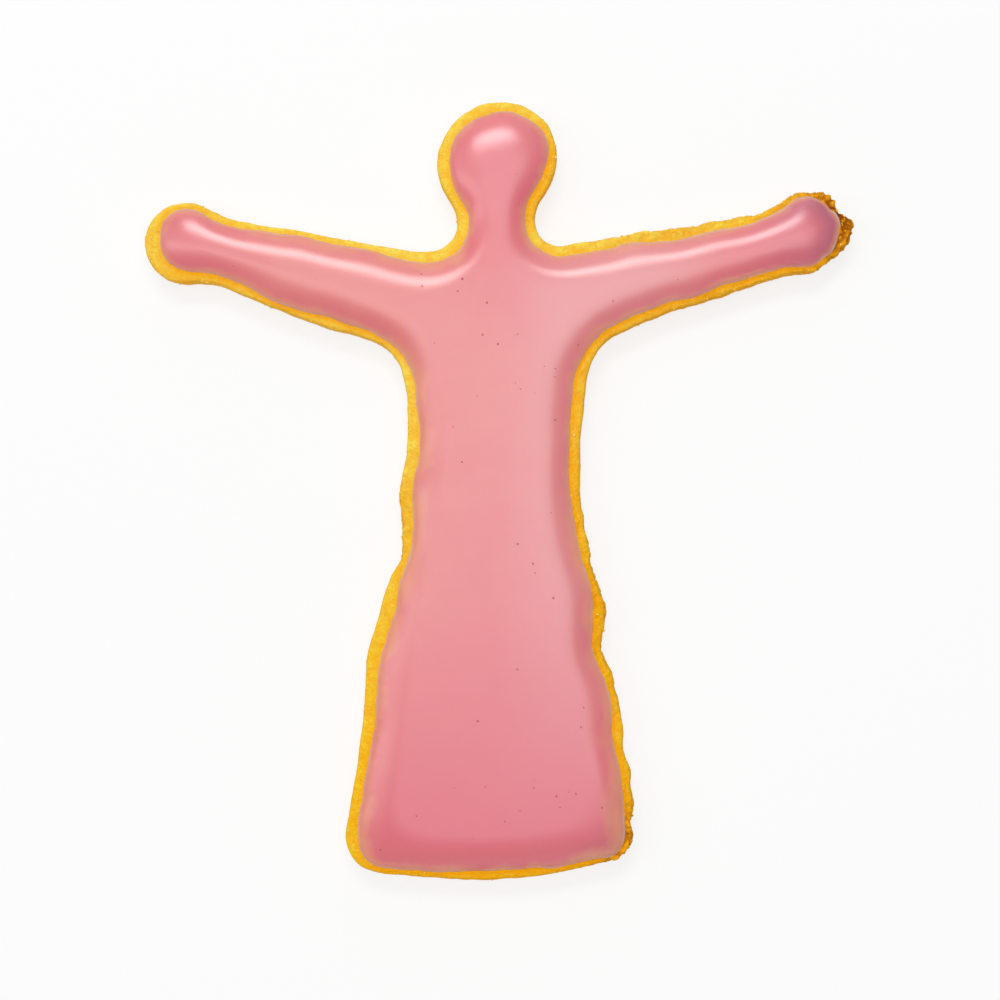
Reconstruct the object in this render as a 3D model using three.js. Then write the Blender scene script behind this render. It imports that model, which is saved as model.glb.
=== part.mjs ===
// An iced sugar cookie, cut out as a plain standing figure in a long gown with both arms held out.
// It lies on its back: +Z is up, +Y runs from the hem to the head, and the origin is the middle of
// the flat underside. Everything is in millimetres.
import * as THREE from "three";

// Driving dimensions
const height = 125;
const doughThickness = 7;
const icingThickness = 1.75;
const rimWidth = 1.5;

const head = { radius: 9.4, neckAngle: -0.73 };
const arm = { rise: 0.25, root: new THREE.Vector2(10, 93), length: 41, rootHalf: 8, wristHalf: 5.4 };
// Where the straight top and underside of an arm begin, measured along it from its root.
const armStarts = { top: 3, under: 10 };
const hand = { radius: 6.6, wrapAngle: 2.2 };
const gown = { hemHalf: 23.2, hemRise: 1.4, cornerRadius: 5.6, cornerTurn: 0.12 };
const gownSide = [[19.8, 30], [16.2, 50], [14.2, 67], [14.4, 78]].map(([x, y]) => new THREE.Vector2(x, y));
// How far the handles of the curves reach at the neck, on the shoulder and under the arm.
const neckPull = 3.5;
const shoulderPull = 5;
const armpitPull = { out: 0.4, down: 1.6 };
// Soft dough shifts as it is lifted to the tray: the head leans and one arm sinks.
const lean = 1.6;
const droop = 0.8;

// Sampling
const outlinePoints = 360;
const smoothingPasses = 3;
const seed = 7;
const draw = { factor: 1664525, step: 1013904223, range: 2 ** 32 };

// The baked edge waves in and out: each entry is a number of waves round the outline and their height.
const broadWaves = [[5, 0.35], [9, 0.3], [15, 0.22]];
const fineWaves = [[37, 0.1], [58, 0.08], [89, 0.07]];
const icingWaves = [[7, 0.16], [16, 0.17], [27, 0.13], [43, 0.07]];
const cragHeight = 0.13;
// How strong the fine waves and the crags are where the edge isn't crumbly. Crumbly places add to it.
const plainEdge = { fine: 0.4, crag: 0.6 };
// How much of the dough's broad unevenness the icing follows, and the least bare rim that it leaves.
const icingFollows = 0.75;
const leastRim = 0.2;

// Local marks: a positive depth bites in, a negative one swells out. Pushes came before baking, so the
// icing follows them, and chips are in the dough alone.
const pushMarks = [
  { near: [-15, 63], reach: 4.2, depth: -1.0 },
  { near: [-15, 53], reach: 3.6, depth: 1.1 },
  { near: [-18.5, 36], reach: 3.2, depth: -0.5 },
  { near: [17, 45], reach: 3.2, depth: -0.9 },
  { near: [19, 37], reach: 2.8, depth: 0.9 },
  { near: [34, 106], reach: 3.6, depth: -0.5 },
];
const chipMarks = [
  { near: [22, 21], reach: 1.9, depth: 0.8 },
  { near: [-45, 110], reach: 1.6, depth: 0.8 },
  { near: [55, 98], reach: 2.0, depth: 0.7 },
  { near: [24.5, 5], reach: 1.6, depth: -1.0 },
  { near: [27, 85], reach: 1.5, depth: -0.5 },
];
// Where the edge is most crumbly, and how far each such stretch reaches.
const crumblyPlaces = [
  { near: [58, 106], reach: 7.5, depth: 2.2 },
  { near: [30, 106], reach: 14, depth: 1.4 },
  { near: [24, 8], reach: 9, depth: 1.6 },
  { near: [17, 50], reach: 16, depth: 0.8 },
  { near: [-14, 58], reach: 8, depth: 0.6 },
];
const icingMarks = [
  { near: [-20, 88], reach: 5, depth: -0.4 },
  { near: [-35, 107], reach: 9, depth: -0.4 },
  { near: [-47, 109], reach: 5, depth: -0.4 },
  { near: [-57, 101], reach: 5, depth: 0.8 },
  { near: [-33, 95], reach: 10, depth: -0.55 },
  { near: [-15, 70], reach: 7, depth: 0.4 },
  { near: [-17, 45], reach: 8, depth: 0.35 },
  { near: [-22, 22], reach: 8, depth: 0.5 },
  { near: [-12, 0], reach: 8, depth: -0.8 },
  { near: [14, 1], reach: 8, depth: -0.8 },
  { near: [23, 12], reach: 4, depth: -0.3 },
  { near: [19, 30], reach: 4, depth: -0.3 },
  { near: [16, 47], reach: 4, depth: -0.5 },
  { near: [16, 64], reach: 6, depth: 0.5 },
  { near: [14, 80], reach: 5, depth: 0.6 },
  { near: [36, 95], reach: 11, depth: -0.6 },
  { near: [28, 107], reach: 8, depth: 0.35 },
  { near: [53, 98], reach: 5, depth: -0.6 },
  { near: [50, 112], reach: 4, depth: -0.5 },
  { near: [57, 111], reach: 2.6, depth: 1.5 },
  { near: [61, 104], reach: 3, depth: -0.5 },
];

// Level by level from the underside to the top: height, and how far inside the outline the dough lies.
const doughLevels = [
  { z: 0, inset: 0.75, crag: 0 },
  { z: 0.5, inset: 0.2, crag: 0.5 },
  { z: 1.7, inset: 0, crag: 1 },
  { z: 3.6, inset: 0.02, crag: 1 },
  { z: 5.3, inset: 0.08, crag: 1 },
  { z: 6.5, inset: 0.22, crag: 0.7 },
  { z: doughThickness, inset: 0.6, crag: 0 },
];
// The icing's rounded shoulder: shares of its thickness, and how far inside its own edge.
const icingLevels = [
  { share: 0, inset: 0 },
  { share: 0.26, inset: 0.08 },
  { share: 0.48, inset: 0.35 },
  { share: 0.68, inset: 0.85 },
  { share: 0.86, inset: 1.6 },
  { share: 1, inset: 2.5 },
];

const dough = new THREE.MeshStandardMaterial({ color: 0xf2b431, roughness: 0.8, metalness: 0 });
const icing = new THREE.MeshStandardMaterial({ color: 0xee969c, roughness: 0.35, metalness: 0 });

// A repeatable source of numbers from 0 to 1.
function makeRandom(start) {
  let state = start >>> 0;
  return () => {
    state = (Math.imul(state, draw.factor) + draw.step) >>> 0;
    return state / draw.range;
  };
}

// The cutter's right half, from the middle of the hem round to the top of the head.
function cutterHalf() {
  const along = new THREE.Vector2(Math.cos(arm.rise), Math.sin(arm.rise));
  const across = new THREE.Vector2(-along.y, along.x);
  const onArm = (t, side) => arm.root.clone().addScaledVector(along, t).addScaledVector(across, side);
  const handCentre = onArm(arm.length, 0);
  const handTurns = [arm.rise - hand.wrapAngle, arm.rise + hand.wrapAngle];
  const headCentre = new THREE.Vector2(0, height - head.radius);
  const neck = new THREE.Vector2(Math.cos(head.neckAngle), Math.sin(head.neckAngle));
  const neckBase = headCentre.clone().addScaledVector(neck, head.radius);
  const neckHandle = neckBase.clone().add(new THREE.Vector2(neck.y, -neck.x).multiplyScalar(neckPull));
  const shoulder = onArm(armStarts.top, arm.rootHalf);
  const shoulderHandle = shoulder.clone().addScaledVector(along, -shoulderPull);
  const corner = new THREE.Vector2(gown.hemHalf - gown.cornerRadius, gown.hemRise + gown.cornerRadius);
  const underarm = onArm(armStarts.under, -arm.rootHalf);
  const armpit = new THREE.Vector2(gownSide.at(-1).x + armpitPull.out, underarm.y - armpitPull.down);

  const half = new THREE.Path();
  half.moveTo(0, 0);
  half.quadraticCurveTo(corner.x / 2, 0, corner.x, gown.hemRise);
  half.absarc(corner.x, corner.y, gown.cornerRadius, -Math.PI / 2, gown.cornerTurn, false);
  half.splineThru(gownSide);
  half.quadraticCurveTo(armpit.x, armpit.y, underarm.x, underarm.y);
  half.lineTo(...onArm(arm.length - hand.radius, -arm.wristHalf).toArray());
  half.absarc(handCentre.x, handCentre.y, hand.radius, ...handTurns, false);
  half.lineTo(...onArm(arm.length - hand.radius, arm.wristHalf).toArray());
  half.lineTo(shoulder.x, shoulder.y);
  half.bezierCurveTo(shoulderHandle.x, shoulderHandle.y, neckHandle.x, neckHandle.y, neckBase.x, neckBase.y);
  half.absarc(headCentre.x, headCentre.y, head.radius, head.neckAngle, Math.PI / 2, false);
  return half;
}

// The whole outline, anticlockwise from the middle of the hem, in evenly spaced points.
function cutterOutline() {
  const right = cutterHalf().getSpacedPoints(outlinePoints / 2);
  const left = right.slice(1, -1).reverse().map((p) => new THREE.Vector2(-p.x, p.y));
  const shifted = [...right, ...left].map(
    (p) => new THREE.Vector2(p.x + lean * (p.y / height) ** 2, p.y + (droop * p.x) / arm.length),
  );
  return smoothed(shifted, smoothingPasses);
}

function smoothed(loop, passes) {
  let points = loop;
  for (let pass = 0; pass < passes; pass++) {
    const before = points;
    points = before.map((p, i) => {
      const next = before[(i + 1) % before.length];
      return p.clone().multiplyScalar(2).add(before.at(i - 1)).add(next).divideScalar(4);
    });
  }
  return points;
}

// Moves each point of a loop inwards by depths[i].
function inset(loop, depths) {
  return loop.map((p, i) => {
    const tangent = loop[(i + 1) % loop.length].clone().sub(loop.at(i - 1)).normalize();
    return p.clone().add(new THREE.Vector2(-tangent.y, tangent.x).multiplyScalar(depths[i]));
  });
}

// At each point of the outline, a sum of whole waves, each with a phase drawn from the seeded source.
function waves(list, random) {
  const phases = list.map(() => random() * 2 * Math.PI);
  const at = (i) => (2 * Math.PI * i) / outlinePoints;
  return Array.from({ length: outlinePoints }, (_, i) =>
    list.reduce((sum, [count, size], k) => sum + size * Math.sin(count * at(i) + phases[k]), 0),
  );
}

// The summed depth of all marks at each point of a loop.
function markDepths(marks, loop) {
  return loop.map((p) =>
    marks.reduce((sum, mark) => {
      const distance = Math.hypot(p.x - mark.near[0], p.y - mark.near[1]);
      return sum + mark.depth * Math.exp(-((distance / mark.reach) ** 2));
    }, 0),
  );
}

// A closed solid through rings of equal length, with flat ends.
function solidThroughRings(rings) {
  const count = rings[0].length;
  const positions = rings.flat().flatMap((p) => p.toArray());
  const faces = [];
  for (let r = 0; r + 1 < rings.length; r++) {
    for (let i = 0; i < count; i++) {
      const [a, b] = [r * count + i, r * count + ((i + 1) % count)];
      faces.push([a, b, b + count], [a, b + count, a + count]);
    }
  }
  const cap = (ring) => THREE.ShapeUtils.triangulateShape(ring.map((p) => new THREE.Vector2(p.x, p.y)), []);
  const top = (rings.length - 1) * count;
  cap(rings[0]).forEach(([a, b, c]) => faces.push([a, c, b]));
  cap(rings.at(-1)).forEach(([a, b, c]) => faces.push([top + a, top + b, top + c]));
  const geometry = new THREE.BufferGeometry();
  geometry.setAttribute("position", new THREE.Float32BufferAttribute(positions, 3));
  geometry.setIndex(faces.flat());
  geometry.computeVertexNormals();
  return geometry;
}

// How far the baked edge lies inside the cutter's line, all the way round.
function bakedEdge(cutter, broad, crumbly, random) {
  const chips = markDepths(chipMarks, cutter);
  const fine = waves(fineWaves, random);
  return broad.map((wave, i) => wave + chips[i] + fine[i] * (plainEdge.fine + crumbly[i]));
}

function doughGeometry(cutter, edge, crumbly, random) {
  const rings = doughLevels.map(({ z, inset: depth, crag }) => {
    const size = crumbly.map((more) => crag * cragHeight * (plainEdge.crag + more));
    const depths = edge.map((start, i) => start + depth + size[i] * (2 * random() - 1));
    return inset(cutter, depths).map((p, i) => new THREE.Vector3(p.x, p.y, z + size[i] * (random() - 0.5)));
  });
  return solidThroughRings(rings);
}

function icingGeometry(cutter, broad, doughEdge, random) {
  const wave = waves(icingWaves, random);
  const marks = markDepths(icingMarks, cutter);
  const flatFrom = doughLevels.at(-1).inset;
  const edge = broad.map((shared, i) => {
    const wanted = rimWidth + icingFollows * shared + wave[i] + marks[i];
    return Math.max(wanted, doughEdge[i] + flatFrom + leastRim);
  });
  const rings = icingLevels.map(({ share, inset: depth }) =>
    inset(cutter, edge.map((start) => start + depth)).map(
      (p) => new THREE.Vector3(p.x, p.y, doughThickness + share * icingThickness),
    ),
  );
  return solidThroughRings(rings);
}

function buildCookie() {
  const random = makeRandom(seed);
  const cutter = cutterOutline();
  const pushes = markDepths(pushMarks, cutter);
  const broad = waves(broadWaves, random).map((wave, i) => wave + pushes[i]);
  const crumbly = markDepths(crumblyPlaces, cutter);
  const edge = bakedEdge(cutter, broad, crumbly, random);
  const base = new THREE.Mesh(doughGeometry(cutter, edge, crumbly, random), dough);
  base.name = "cookie_base";
  const coat = new THREE.Mesh(icingGeometry(cutter, broad, edge, random), icing);
  coat.name = "icing";

  base.geometry.computeBoundingBox();
  const middle = base.geometry.boundingBox.getCenter(new THREE.Vector3());
  for (const mesh of [base, coat]) mesh.geometry.translate(-middle.x, -middle.y, 0);
  const cookie = new THREE.Group();
  cookie.add(base, coat);
  return cookie;
}

export default buildCookie();
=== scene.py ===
# %% [markdown]
# # An iced sugar cookie, dressed for its portrait
#
# The cookie is a slab of baked golden dough, cut out as a plain standing figure in a long gown
# with both arms held out, and flooded with pink icing that stops short of the edge. This lesson
# takes the plain solids of the two parts, already right in size and place, and builds over them
# what the eye looks for in a cookie: a slightly ragged crust, grains of sugar, icing that swells
# like a puddle, and a few pinholes where air bubbles burst.

import math

import bpy
import numpy as np
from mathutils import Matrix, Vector, geometry, kdtree, noise


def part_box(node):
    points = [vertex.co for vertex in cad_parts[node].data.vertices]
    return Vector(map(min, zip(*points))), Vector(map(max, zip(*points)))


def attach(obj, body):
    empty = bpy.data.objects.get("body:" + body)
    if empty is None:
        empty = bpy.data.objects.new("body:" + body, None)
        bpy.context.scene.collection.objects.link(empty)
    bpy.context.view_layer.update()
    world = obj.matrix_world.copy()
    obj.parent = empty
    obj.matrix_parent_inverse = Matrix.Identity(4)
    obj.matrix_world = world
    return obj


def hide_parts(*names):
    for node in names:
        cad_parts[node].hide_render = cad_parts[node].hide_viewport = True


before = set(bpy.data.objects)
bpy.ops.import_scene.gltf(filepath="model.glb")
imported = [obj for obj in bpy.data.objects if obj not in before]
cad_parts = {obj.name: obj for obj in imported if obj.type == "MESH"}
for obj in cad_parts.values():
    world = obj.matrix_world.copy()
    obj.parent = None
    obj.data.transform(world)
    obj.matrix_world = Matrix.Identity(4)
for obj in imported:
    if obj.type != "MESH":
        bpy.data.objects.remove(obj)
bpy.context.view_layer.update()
MM = 0.001
print("solids:", sorted(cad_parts))

# %% [markdown]
# ## Sizes that come from the solids
#
# Nothing is measured twice. The icing lies on the dough, so the box of its solid gives both the
# top of the dough and the thickness of the icing.

# %% Read the main sizes
icing_low, icing_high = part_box("icing")
dough_top = icing_low.z
icing_depth = icing_high.z - icing_low.z
print(f"dough {dough_top / MM:.2f} mm thick, icing {icing_depth / MM:.2f} mm deep")


# %% [markdown]
# ## Taking an outline from a solid
#
# A level cut through a closed mesh is a closed line, as when a cookie is sliced flat. Each
# triangle that crosses the level gives one short stretch of that line, and the stretches are
# then walked end to end. So the outline is drawn in one place only, the solid.

# %% Slice a solid at one height
same_point = 1e-7


def slice_outline(node, height):
    """The longest closed line where a level plane cuts a solid, as points in x and y."""
    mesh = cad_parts[node].data
    mesh.calc_loop_triangles()
    places = np.array([v.co for v in mesh.vertices])
    rounded = np.round(places / same_point).astype(np.int64)
    _, same = np.unique(rounded, axis=0, return_inverse=True)
    same = same.ravel()
    crossings, neighbours = {}, {}
    for triangle in mesh.loop_triangles:
        cut = []
        for a, b in zip(triangle.vertices, np.roll(triangle.vertices, -1)):
            low, high = places[a], places[b]
            if (low[2] < height) == (high[2] < height):
                continue
            key = (min(same[a], same[b]), max(same[a], same[b]))
            share = (height - low[2]) / (high[2] - low[2])
            crossings[key] = (low + share * (high - low))[:2]
            cut.append(key)
        if len(cut) == 2:
            neighbours.setdefault(cut[0], []).append(cut[1])
            neighbours.setdefault(cut[1], []).append(cut[0])
    return walk_longest(crossings, neighbours)


def walk_longest(crossings, neighbours):
    """Follows the links between crossings and returns the loop with the most points."""
    unused, longest = set(crossings), []
    while unused:
        walk = [unused.pop()]
        while True:
            ahead = [k for k in neighbours[walk[-1]] if k in unused]
            if not ahead:
                break
            unused.discard(ahead[0])
            walk.append(ahead[0])
        if len(walk) > len(longest):
            longest = walk
    return np.array([crossings[key] for key in longest])


# %% [markdown]
# The cut has corners where the solid has facets. Spacing its points evenly and then damping the
# short waves of the closed line rounds those corners, and keeps the shape.

# %% Even out and soften a closed line
def run_along(line):
    """How far along a line each of its points lies."""
    return np.concatenate([[0], np.cumsum(np.hypot(*np.diff(line, axis=0).T))])


def points_at(at, line):
    """The places on a line at some distances along it."""
    return np.column_stack([np.interp(at, run_along(line), line[:, k]) for k in (0, 1)])


def even_spaced(loop, spacing):
    """The same closed line, anticlockwise, in points that are about spacing apart."""
    x, y = loop.T
    if np.sum(x * np.roll(y, -1) - np.roll(x, -1) * y) < 0:
        loop = loop[::-1]
    closed = np.vstack([loop, loop[:1]])
    around = run_along(closed)[-1]
    return points_at(np.linspace(0, around, int(round(around / spacing)), endpoint=False), closed)


def softened(loop, reach, spacing):
    """A closed line with its waves shorter than about reach damped away."""
    waves = np.fft.fft(loop[:, 0] + 1j * loop[:, 1])
    pitch = np.fft.fftfreq(len(loop), spacing)
    waves *= np.exp(-0.5 * (2 * math.pi * pitch * reach) ** 2)
    smooth = np.fft.ifft(waves)
    return np.column_stack([smooth.real, smooth.imag])


def inward_normals(loop):
    """Unit directions to the left of the line's run, which is inwards on an anticlockwise loop."""
    run = np.roll(loop, -1, axis=0) - np.roll(loop, 1, axis=0)
    run /= np.linalg.norm(run, axis=1)[:, None]
    return np.column_stack([-run[:, 1], run[:, 0]])


def wavered(loop, height, per_metre):
    """The same line pushed in and out by a noise, as where icing creeps over rough dough."""
    push = np.array([noise.noise(Vector((x * per_metre, y * per_metre, 7.0))) for x, y in loop])
    return loop + inward_normals(loop) * (height * push)[:, None]


# %% [markdown]
# The dough is sliced where its side stands upright, and the icing just above its foot. Icing that
# is still wet creeps over the grain of the dough, so its edge also gets two small wavers, a slow
# one and a fine one, each with a height and a number of waves in a metre.

# %% Outline of the dough and of the icing
point_gap = 0.25 * MM
side_level = 1.9 * MM
foot_of_icing = dough_top + 0.1 * icing_depth
creeps = ((0.3 * MM, 240), (0.09 * MM, 800))


def edge_of(node, level, reach):
    """The outline of a solid at one level, in even steps, without waves shorter than reach."""
    return softened(even_spaced(slice_outline(node, level), point_gap), reach, point_gap)


dough_edge = edge_of("cookie_base", side_level, 0.45 * MM)
icing_edge = edge_of("icing", foot_of_icing, 0.5 * MM)
for creep, per_metre in creeps:
    icing_edge = wavered(icing_edge, creep, per_metre)
print(f"edges of {len(dough_edge)} and {len(icing_edge)} points")


# %% [markdown]
# ## Where the crust is crumbly
#
# On the real cookie most of the edge is smooth and golden, but a few stretches are ragged: one
# hand, the top of that arm, a corner of the hem and part of the gown's side. The hand and the
# corner have also caught more heat, and are browner. Each place is a soft spot with a centre and
# a reach in millimetres, and how ragged and how browned it is. One function adds them up for any
# point, so that relief, crumbs and colour agree with each other.

# %% Name the crumbly places
crumbly_places = {
    "right_hand": {"at": (54, 44), "reach": 9, "ragged": 1.0, "browned": 1.0},
    "right_arm_top": {"at": (28, 40), "reach": 13, "ragged": 0.5, "browned": 0.05},
    "hem_corner": {"at": (22, -57), "reach": 8, "ragged": 0.8, "browned": 0.75},
    "gown_side": {"at": (17, -18), "reach": 17, "ragged": 0.45, "browned": 0.1},
    "left_push": {"at": (-15, -5), "reach": 9, "ragged": 0.35, "browned": 0.1},
    "left_hand": {"at": (-52, 41), "reach": 6, "ragged": 0.25, "browned": 0.1},
}

# %% [markdown]
# The colour isn't even either. The head and the hands are painted a stronger pink and gold than
# the rest, as painted shade, and the icing ran out thin at one corner of the hem and beside the
# neck. These are soft spots too, with a share in place of the two amounts.

# %% Name the places with painted shade, and the thin places
painted_shade_ends = {
    "head": {"at": (1, 50), "reach": 14, "share": 1.0},
    "left_hand": {"at": (-50, 42), "reach": 11, "share": 0.7},
    "right_hand": {"at": (50, 43), "reach": 13, "share": 1.0},
}
thin_places = {
    "hem_corner": {"at": (21, -56), "reach": 9, "share": 1.0},
    "neck": {"at": (-8, 34), "reach": 5, "share": 0.6},
}


# %% Add up the places
def place_sum(places, kind, x, y):
    """The amounts of one kind that all places give to points in metres, from 0 to 1."""
    total = np.zeros_like(x)
    for place in places.values():
        away = np.hypot(x - place["at"][0] * MM, y - place["at"][1] * MM) / (place["reach"] * MM)
        total += place[kind] * np.exp(-(away**2))
    return np.clip(total, 0, 1)


# %% [markdown]
# ## Mesh helpers
#
# Both parts are made of rings that follow an edge, joined by bands of four-sided faces, with
# the middle filled in. The fill is a Delaunay triangulation, which joins the last ring to a
# regular lattice of points inside it, so the faces there are even in size.

# %% Fill the inside of a ring
clear_share = 0.55
crossing_gap = 1e-9


def search_tree(loop):
    """A tree that finds the point of a line nearest to any place."""
    tree = kdtree.KDTree(len(loop))
    for i, (x, y) in enumerate(loop):
        tree.insert((x, y, 0), i)
    tree.balance()
    return tree


def lattice_inside(loop, gap):
    """Points of a triangular lattice inside a closed line, over half a gap away from it."""
    ends = np.roll(loop, -1, axis=0)
    tree = search_tree(loop)
    found = []
    row_gap = gap * math.sqrt(3) / 2
    rows = np.arange(loop[:, 1].min() + row_gap / 2, loop[:, 1].max(), row_gap)
    for r, y in enumerate(rows):
        crosses = (loop[:, 1] <= y) != (ends[:, 1] <= y)
        a, b = loop[crosses], ends[crosses]
        walls = np.sort(a[:, 0] + (y - a[:, 1]) / (b[:, 1] - a[:, 1]) * (b[:, 0] - a[:, 0]))
        for left, right in zip(walls[::2], walls[1::2]):
            first = math.ceil(left / gap - r % 2 / 2)
            last = math.floor(right / gap - r % 2 / 2)
            found += [((k + r % 2 / 2) * gap, y) for k in range(first, last + 1)]
    return np.array([p for p in found if tree.find((*p, 0))[2] > clear_share * gap])


def filled(loop, inner):
    """Triangles over a closed line and the points inside it, as numbers into loop then inner."""
    points = [Vector(p) for p in np.vstack([loop, inner]) if len(p)]
    ring = [list(range(len(loop)))]
    made, _, faces, origins, _, _ = geometry.delaunay_2d_cdt(points, [], ring, 1, crossing_gap)
    print(f"filled: {len(points)} points, {len(made) - len(points)} added where lines crossed")
    return [tuple(origins[v][0] for v in face) for face in faces]


def bands(rings, count):
    """Four-sided faces that join one ring of count points to the next."""
    i = np.arange(count)
    j = (i + 1) % count
    return [
        face
        for r in range(rings - 1)
        for face in zip(r * count + i, r * count + j, (r + 1) * count + j, (r + 1) * count + i)
    ]


def make_piece(name, points, faces):
    """A mesh object with smooth shading, at the origin."""
    mesh = bpy.data.meshes.new(name)
    mesh.from_pydata([tuple(p) for p in points], [], [tuple(int(v) for v in f) for f in faces])
    mesh.validate()
    mesh.shade_smooth()
    piece = bpy.data.objects.new(name, mesh)
    bpy.context.scene.collection.objects.link(piece)
    return piece


def store(piece, name, values):
    """Keeps one number for each point of a piece, for its materials and node trees to read."""
    held = piece.data.attributes.new(name, "FLOAT", "POINT")
    held.data.foreach_set("value", np.asarray(values, np.float32))


# %% [markdown]
# ## The slab of dough
#
# A cut cookie isn't a straight-sided prism. The cutter leaves an upright side, the foot pulls in
# a little where it touches the tray, and the rim sinks away from the icing in a low dome. The
# side is drawn once, as a profile of inset against height, and every ring of the mesh takes one
# point of it. The rings near the middle follow a softer and softer outline, because a nick in
# the edge fades inwards.

# %% Draw the side's profile, as insets and heights in millimetres
side_profile = [
    (1.6, 0.0), (0.7, 0.0), (0.2, 0.3), (0.05, 1.7), (-0.03, 3.6), (-0.02, 5.4),
    (0.01, 6.45), (0.14, 6.8), (0.45, 6.93), (1.1, 6.98), (1.9, 7.0), (2.5, 7.0),
]  # fmt: skip
profile_gap = 0.25 * MM
corner_cuts = 3


def cut_corners(points, rounds):
    """Rounds a bent line by cutting each corner, again and again, and keeps its two ends."""
    for _ in range(rounds):
        ahead = 0.75 * points[:-1] + 0.25 * points[1:]
        behind = 0.25 * points[:-1] + 0.75 * points[1:]
        middle = np.stack([ahead, behind], axis=1).reshape(-1, 2)
        points = np.vstack([points[:1], middle[1:-1], points[-1:]])
    return points


def profile_rows():
    """The rounded profile in rows about profile_gap apart, scaled to the dough's thickness."""
    line = cut_corners(np.array(side_profile), corner_cuts) * MM
    line[:, 1] *= dough_top / (side_profile[-1][1] * MM)
    length = run_along(line)[-1]
    return points_at(np.linspace(0, length, int(length / profile_gap)), line)


# %% Build the slab
nick_reach = 1.6 * MM
nicks_end_at = 2.2 * MM
top_gap = 2.0 * MM
soft_edge = softened(dough_edge, nick_reach, point_gap)
inwards = inward_normals(soft_edge)


def smooth_step(low, high, value):
    """Goes from 0 at low to 1 at high, without corners."""
    share = np.clip((value - low) / (high - low), 0, 1)
    return share * share * (3 - 2 * share)


def build_dough():
    """The slab: rings up its side, then the fills of its top and its underside."""
    rows = profile_rows()
    rings = []
    for inset, height in rows:
        blend = smooth_step(0, nicks_end_at, inset)
        ring = dough_edge * (1 - blend) + soft_edge * blend + inwards * inset
        rings.append(np.column_stack([ring, np.full(len(ring), height)]))
    count = len(dough_edge)
    under, over = rings[0][:, :2], rings[-1][:, :2]
    inner = lattice_inside(over, top_gap)
    top_points = np.column_stack([inner, np.full(len(inner), dough_top)])
    points = np.vstack([*rings, top_points])
    top_start = (len(rings) - 1) * count
    top = [tuple(v + top_start for v in face) for face in filled(over, inner)]
    bottom = [face[::-1] for face in filled(under, np.empty((0, 2)))]
    piece = make_piece("dough_crust", points, bands(len(rings), count) + top + bottom)
    print(f"dough: {len(rings)} rings of {count} points, {len(piece.data.polygons)} faces")
    return piece


dough = build_dough()


# %% [markdown]
# The relief and the colours below need to know a few things about each point of the slab: how
# bare it is of icing, how crumbly and how browned its place is, whether it is on the side, and
# where shade is painted: beside the icing, on an edge that faces away from the light, and at the
# head and hands. They are stored on the mesh as attributes, which node trees and materials can
# read by name. Distances to the icing's edge come from a search tree over its points, and are
# negative outside it.

# %% Measure from an edge
facing_reach = 1.0 * MM


def nearest_edge(loop, points):
    """How far inside a closed line each point is, and which way the line faces nearest to it."""
    tree = search_tree(loop)
    inwards_here = inward_normals(softened(loop, facing_reach, point_gap))
    inside, outwards = [], []
    for x, y in points:
        (near_x, near_y, _), i, away = tree.find((x, y, 0))
        inner = (x - near_x) * inwards_here[i][0] + (y - near_y) * inwards_here[i][1]
        inside.append(math.copysign(away, inner))
        outwards.append(-inwards_here[i])
    return np.array(inside), np.array(outwards)


def points_of(piece):
    """The places of a mesh's points as an array of rows."""
    flat = np.empty(len(piece.data.vertices) * 3)
    piece.data.vertices.foreach_get("co", flat)
    return flat.reshape(-1, 3)


# %% [markdown]
# An edge that faces the hem and the right is painted more orange than the others, as painted
# shade on the side away from the light, and the icing along it is painted a little rosier, as shade too.

# %% Store where the slab is bare, crumbly and toasted, and where shade is painted
away_from_light = np.array([0.45, -0.89])


def mark_dough(piece):
    """Stores what the relief and the colours of the slab depend on."""
    places = points_of(piece)
    x, y, z = places.T
    under_icing, outwards = nearest_edge(icing_edge, places[:, :2])
    on_top = smooth_step(0.9 * dough_top, 0.98 * dough_top, z)
    store(piece, "bare", 1 - on_top * smooth_step(-0.1 * MM, 0.5 * MM, under_icing))
    clear_of_icing = 1 - on_top * smooth_step(-0.5 * MM, 0.3 * MM, under_icing)
    store(piece, "relief", smooth_step(0, 1.2 * MM, z) * clear_of_icing)
    store(piece, "crumbly", place_sum(crumbly_places, "ragged", x, y))
    store(piece, "browned", place_sum(crumbly_places, "browned", x, y))
    # Painted shade at the head and the hands.
    store(piece, "painted_end_shade", place_sum(painted_shade_ends, "share", x, y))
    store(piece, "on_side", 1 - smooth_step(0.7 * dough_top, 0.9 * dough_top, z))
    store(piece, "toasted", 1 - smooth_step(0, 1.5 * MM, z))
    # Painted shade: an orange line on the rim beside the icing.
    store(piece, "painted_shade_by_icing", on_top * smooth_step(-0.7 * MM, -0.1 * MM, under_icing))
    # Painted shade: the edges that face away from the light.
    store(piece, "painted_shade_side", smooth_step(-0.2, 0.9, outwards @ away_from_light))


mark_dough(dough)


# %% [markdown]
# ## A short way to write node trees
#
# A node tree is a list of nodes whose inputs are either linked or set. These helpers take both
# in the same way: an input given as another node's output is linked, and a plain value is set.

# %% Helpers for node trees
def feed(tree, socket, value):
    """Links a socket to another node's output, or sets it to a value."""
    if isinstance(value, bpy.types.NodeSocket):
        tree.links.new(value, socket)
    else:
        socket.default_value = value


def add(tree, kind, inputs=None, **settings):
    """Adds a node with its settings, and feeds its inputs, which are named or numbered."""
    made = tree.nodes.new(kind)
    for name, value in settings.items():
        setattr(made, name, value)
    for name, value in (inputs or {}).items():
        feed(tree, made.inputs[name], value)
    return made


def calc(tree, operation, *values):
    """The output of one step of arithmetic."""
    return add(tree, "ShaderNodeMath", dict(enumerate(values)), operation=operation).outputs[0]


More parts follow.
